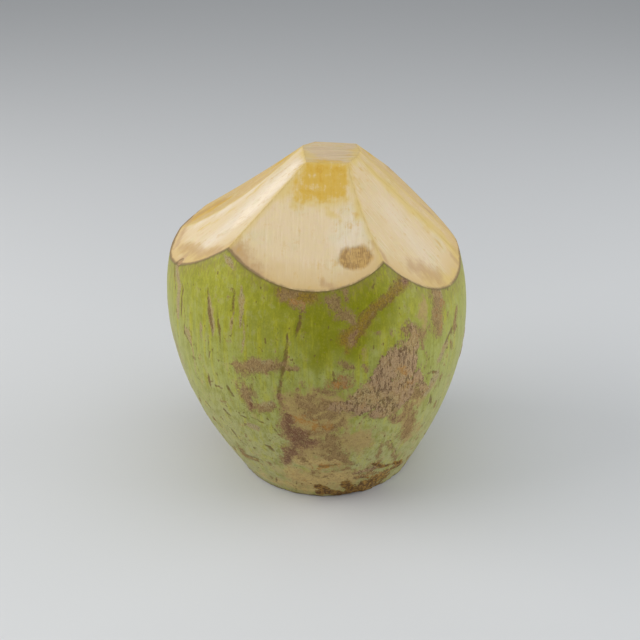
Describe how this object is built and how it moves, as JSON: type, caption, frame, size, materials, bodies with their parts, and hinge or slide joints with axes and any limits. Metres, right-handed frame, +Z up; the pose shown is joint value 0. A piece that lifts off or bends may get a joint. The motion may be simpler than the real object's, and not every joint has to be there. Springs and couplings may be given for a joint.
{
  "type": "young coconut",
  "caption": "Trimmed young coconut: green husk with a flat foot, pared by knife strokes to a low pale cone with a small flat top",
  "frame": {"origin": "the middle of the flat foot, where the nut's axis meets the surface that it stands on", "axes": "+Z up along the nut's axis, from the foot to the pared top; -Y towards the broad front knife cut, +X to its right"},
  "size_m": [0.1644, 0.1642, 0.1799],
  "materials": {
    "rind": "waxy green rind with brown cork and scratches, pale fibrous husk on the knife cuts"
  },
  "bodies": {
    "root": {"young_coconut": "rind"}
  },
  "joints": []
}
